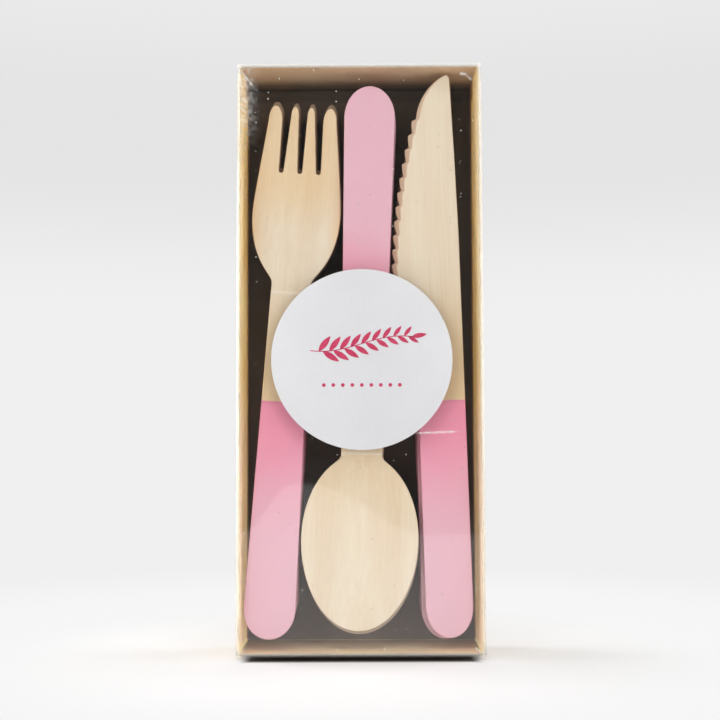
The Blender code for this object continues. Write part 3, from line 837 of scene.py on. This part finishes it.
def folded_box(name, low, high, sheet, fold, open_front, rows, columns):
    """Five walls folded from one sheet, open at one big face."""
    bm = bmesh.new()
    bmesh.ops.create_cube(bm, size=1.0)
    for vert in bm.verts:
        vert.co = [low[i] if vert.co[i] < 0 else high[i] for i in range(3)]
    open_y = low[1] if open_front else high[1]
    open_faces = [face for face in bm.faces if all(abs(v.co.y - open_y) < MM for v in face.verts)]
    bmesh.ops.delete(bm, geom=open_faces, context="FACES_ONLY")
    folds = [edge for edge in bm.edges if len(edge.link_faces) == 2]
    bmesh.ops.bevel(bm, geom=folds, offset=fold, segments=6, profile=0.5, affect="EDGES")
    bmesh.ops.recalc_face_normals(bm, faces=bm.faces[:])
    for z in rows:
        slice_blank(bm, (0, 0, z), (0, 0, 1))
    for x in columns:
        slice_blank(bm, (x, 0, 0), (1, 0, 0))
    for face in bm.faces:
        face.smooth = True
    box = new_piece(name, bm)
    walls = box.modifiers.new("sheet", "SOLIDIFY")
    walls.thickness = sheet
    walls.offset = -1.0
    walls.use_even_offset = True
    even = box.modifiers.new("even_shading", "WEIGHTED_NORMAL")
    even.keep_sharp = True
    return box


def kraft_tray():
    low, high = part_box("kraft_tray")
    rows = spaced(low.z + 5 * MM, high.z - 5 * MM, 16)
    tray = folded_box("kraft_tray_board", low, high, BOARD, BOARD_FOLD, True, rows, [])
    tray.data.materials.append(kraft_board("kraft_board_walls", 1.0))
    tray.data.materials.append(kraft_board("kraft_board_back", 0.0))
    for face in tray.data.polygons:
        side_wall = abs(face.center.x) > high.x - 0.6 * BOARD_FOLD
        face.material_index = 0 if side_wall else 1
    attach(tray, "tray")
    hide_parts("kraft_tray")


def clear_lid():
    low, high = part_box("clear_lid")
    rows = spaced(low.z + 4 * MM, high.z - 4 * MM, 24)
    columns = spaced(low.x + 4 * MM, high.x - 4 * MM, 12)
    lid = folded_box("clear_lid_film", low, high, FILM, FILM_FOLD, False, rows, columns)
    lid.data.materials.append(clear_film())
    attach(lid, "lid")
    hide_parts("clear_lid")


def disc_mesh(name, radius, thickness, soft):
    """Thin disc in the XZ plane, its front at y = 0 and its front rim rounded."""
    bm = bmesh.new()
    rings = [(radius - soft, 0.0), (radius - 0.3 * soft, 0.3 * soft)]
    rings += [(radius, soft), (radius, thickness)]
    steps = 128
    loops = []
    for ring_radius, y in rings:
        points = arc(0, 0, ring_radius, ring_radius, 0, 360, steps)[:-1]
        loops.append([bm.verts.new((x, y, z)) for x, z in points])
    bm.faces.new(loops[0])
    bm.faces.new(loops[-1])
    for near, far in zip(loops, loops[1:]):
        for i in range(steps):
            j = (i + 1) % steps
            bm.faces.new([near[i], near[j], far[j], far[i]])
    bmesh.ops.recalc_face_normals(bm, faces=bm.faces[:])
    smooth_all(bm, 40)
    return new_piece(name, bm)


def round_label():
    low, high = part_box("round_label")
    radius = (high.x - low.x) / 2
    label = disc_mesh("round_label_paper", radius, LABEL_THICK, 0.08 * MM)
    middle = ((low.x + high.x) / 2, LID_FACE_Y - LABEL_THICK - 0.02 * MM, (low.z + high.z) / 2)
    label.location = middle
    label.data.materials.append(label_paper())
    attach(label, "lid")
    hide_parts("round_label")
    sprig = label_sprig()
    sprig.location = middle
    sprig.data.materials.append(crimson_ink())
    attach(sprig, "lid")


def leaf(x, z, turn, length, width):
    """Outline of one pointed leaf that grows from a place at a turn, in degrees."""
    side = [(t, width / 2 * math.sin(math.pi * t) ** 0.8 * (1 - 0.25 * t)) for t in spaced(0, 1, 12)]
    points = [(t * length, w) for t, w in side] + [(t * length, -w) for t, w in reversed(side[1:-1])]
    angle = math.radians(turn)
    return [
        (x + a * math.cos(angle) - b * math.sin(angle), z + a * math.sin(angle) + b * math.cos(angle))
        for a, b in points
    ]


def sprig_height(x):
    return 4.5 * MM + 2.2 * MM * math.sin(x / (15 * MM) * math.pi / 2 * 1.3)


def sprig_shapes():
    """Outlines of the sprig's stem and leaves, and of the dots under it."""
    reach = 15 * MM
    stem = [(x, sprig_height(x)) for x in spaced(-reach, reach, 40)]
    width = 0.28 * MM
    shapes = [[(x, z + width / 2) for x, z in stem] + [(x, z - width / 2) for x, z in reversed(stem)]]
    for i in range(9):
        x = -reach + 2.5 * MM + 3.1 * MM * i
        size = 5.6 * MM - 0.25 * MM * i
        shapes.append(leaf(x, sprig_height(x), 52, size, size * 0.36))
        shapes.append(leaf(x + 1.2 * MM, sprig_height(x + 1.2 * MM), -32, size, size * 0.36))
    shapes.append(leaf(reach - 0.5 * MM, sprig_height(reach), 10, 4.5 * MM, 1.6 * MM))
    for x in spaced(-11 * MM, 11 * MM, 8):
        shapes.append(arc(x, -7.5 * MM, 0.55 * MM, 0.55 * MM, 0, 360, 16)[:-1])
    return shapes


def label_sprig():
    """Print on the label: a leafy sprig over a row of dots."""
    bm = bmesh.new()
    for points in sprig_shapes():
        bm.faces.new([bm.verts.new((x, -0.015 * MM, z)) for x, z in points])
    bmesh.ops.recalc_face_normals(bm, faces=bm.faces[:])
    for face in bm.faces:
        if face.normal.y > 0:
            face.normal_flip()
    bmesh.ops.triangulate(bm, faces=bm.faces[:])
    return new_piece("label_sprig", bm)


def set_camera():
    data = bpy.data.cameras.new("camera")
    data.lens = CAMERA_LENS
    data.sensor_width = 36.0
    data.sensor_fit = "HORIZONTAL"
    data.clip_start = 0.01
    camera = bpy.data.objects.new("camera", data)
    bpy.context.scene.collection.objects.link(camera)
    turn = Matrix.Rotation(math.radians(-CAMERA_TURN), 4, "Z")
    pitch = Matrix.Rotation(math.radians(90 + CAMERA_PITCH), 4, "X")
    roll = Matrix.Rotation(math.radians(CAMERA_ROLL), 4, "Z")
    camera.matrix_world = Matrix.Translation(CAMERA_AT) @ turn @ pitch @ roll
    bpy.context.scene.camera = camera


def softbox(name, place, target, width, height, watts):
    data = bpy.data.lights.new(name, "AREA")
    data.shape = "RECTANGLE"
    data.size = width
    data.size_y = height
    data.energy = watts
    lamp = bpy.data.objects.new(name, data)
    bpy.context.scene.collection.objects.link(lamp)
    lamp.location = place
    lamp.rotation_euler = (Vector(target) - Vector(place)).to_track_quat("-Z", "Y").to_euler()
    return lamp


def panel(name, corners, material):
    bm = bmesh.new()
    bm.faces.new([bm.verts.new(corner) for corner in corners])
    piece = new_piece(name, bm)
    piece.data.materials.append(material)
    return piece


def floor_white():
    """White table with a painted contact shadow under the pack, which runs into the pale backdrop away
    from it.
    """
    finish = Finish("floor_white")
    x, y, _ = finish.parts(finish.place())
    away = (x * x + y * y) ** 0.5
    eye = finish.add("ShaderNodeLightPath")
    seen = away.ramp(0.055, 0.115) * eye
    # Painted contact shadow: the floor is dark under the pack.
    past_edge = (abs(x) - TRAY_HIGH[0] + 0.003).larger(abs(y) - TRAY_HIGH[1])
    under = past_edge.ramp(-0.001, 0.0028, 1.0, 0.0)
    white = finish.colours(under, (0.78, 0.78, 0.78), (0.06, 0.05, 0.04))
    table = finish.principled(base_color=white, roughness=0.9)
    pale = finish.colours(away.ramp(0.13, 0.27), (0.925, 0.925, 0.925), BACKDROP)
    backdrop = finish.add("ShaderNodeEmission", None, {"Color": pale, "Strength": 1.0})
    return finish.done(finish.mixed(seen, table, backdrop))


def dark_card():
    finish = Finish("dark_card")
    shade = finish.noise(finish.place(), 2.0)
    colour = finish.colours(shade, (0.08, 0.08, 0.08), (0.11, 0.11, 0.11))
    return finish.done(finish.principled(base_color=colour, roughness=0.9))


def set_floor():
    reach = 6.0
    level = -CONTACT_GAP
    corners = [(-reach, -reach), (reach, -reach), (reach, reach), (-reach, reach)]
    panel("floor", [(x, y, level) for x, y in corners], floor_white())


def set_dark_room():
    """Dark room in front of the pack, seen only in the film's reflection."""
    near = -0.445
    far = -1.2
    side = 0.9
    low = 0.002
    top = 0.75
    card = dark_card()
    ground = [(-side, near, low), (side, near, low), (side, far, low), (-side, far, low)]
    wall = [(-side, far, 0.0), (side, far, 0.0), (side, far, top), (-side, far, top)]
    for name, corners in (("dark_floor", ground), ("dark_wall", wall)):
        piece = panel(name, corners, card)
        piece.visible_camera = False
        piece.visible_diffuse = False
        piece.visible_shadow = False
        piece.visible_transmission = False


def set_world():
    """White studio that is dark on the camera's side, and a pale backdrop for the eye."""
    studio = Finish("studio", world=True)
    direction = studio.add("ShaderNodeTexCoord")
    x, y, z = studio.parts(direction)
    front = (-1 * y).ramp(0.35, 0.9) * z.ramp(0.75, 0.35)
    beside = abs(x).ramp(0.5, 0.9)
    fill = studio.colours(beside, (FILL, FILL, FILL), (SIDE_FILL, SIDE_FILL, SIDE_FILL))
    fill = studio.colours(front, fill, (FRONT_FILL, FRONT_FILL, FRONT_FILL))
    light = studio.add("ShaderNodeBackground", None, {"Color": fill, "Strength": 1.0})
    band = z.ramp(0.10, 0.22) * z.ramp(0.26, 0.36, 1.0, 0.45)
    pale = studio.colours(band, BACKDROP, (0.78, 0.78, 0.78))
    backdrop = studio.add("ShaderNodeBackground", None, {"Color": pale, "Strength": 1.0})
    path = studio.add("ShaderNodeLightPath")
    seen = path.larger(path.output("Is Glossy Ray")).larger(path.output("Is Transmission Ray"))
    mixed = studio.mixed(seen, light, backdrop)
    studio.add("ShaderNodeOutputWorld", None, {"Surface": mixed})
    bpy.context.scene.world = studio.holder


def set_light():
    softbox("overhead_softbox", (0.0, -0.60, 0.90), (0, 0, 0.08), 0.9, 0.4, TOP_WATTS)
    softbox("left_softbox", (-0.6, -0.95, 0.34), (0, 0, 0.09), 0.4, 0.8, SIDE_WATTS)
    softbox("right_softbox", (0.6, -0.95, 0.34), (0, 0, 0.09), 0.4, 0.8, SIDE_WATTS)
    softbox("left_wash", (-0.45, 0.08, 0.09), (0, 0.05, 0.07), 0.3, 0.3, LEFT_WASH_WATTS)
    softbox("right_wash", (0.45, 0.08, 0.14), (0, 0.05, 0.09), 0.3, 0.3, RIGHT_WASH_WATTS)


TRAY_LOW, TRAY_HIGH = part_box("kraft_tray")
LID_LOW, LID_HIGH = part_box("clear_lid")
RIM_Y = TRAY_LOW[1]
INNER_BACK_Y = TRAY_HIGH[1] - BOARD
LID_FACE_Y = LID_LOW[1]
LID_SIDE = LID_HIGH[0]
LID_MIDDLE = LID_HIGH[2] / 2

set_camera()
set_floor()
set_dark_room()
set_world()
set_light()
kraft_tray()
lay_stack("fork", fork_mesh(), FORKS, dipped_wood(FORK_LOOK))
lay_stack("spoon", spoon_mesh(), SPOONS, dipped_wood(SPOON_LOOK))
lay_stack("knife", knife_mesh(), KNIVES, dipped_wood(KNIFE_LOOK))
clear_lid()
round_label()

bpy.context.scene.view_settings.view_transform = "Standard"
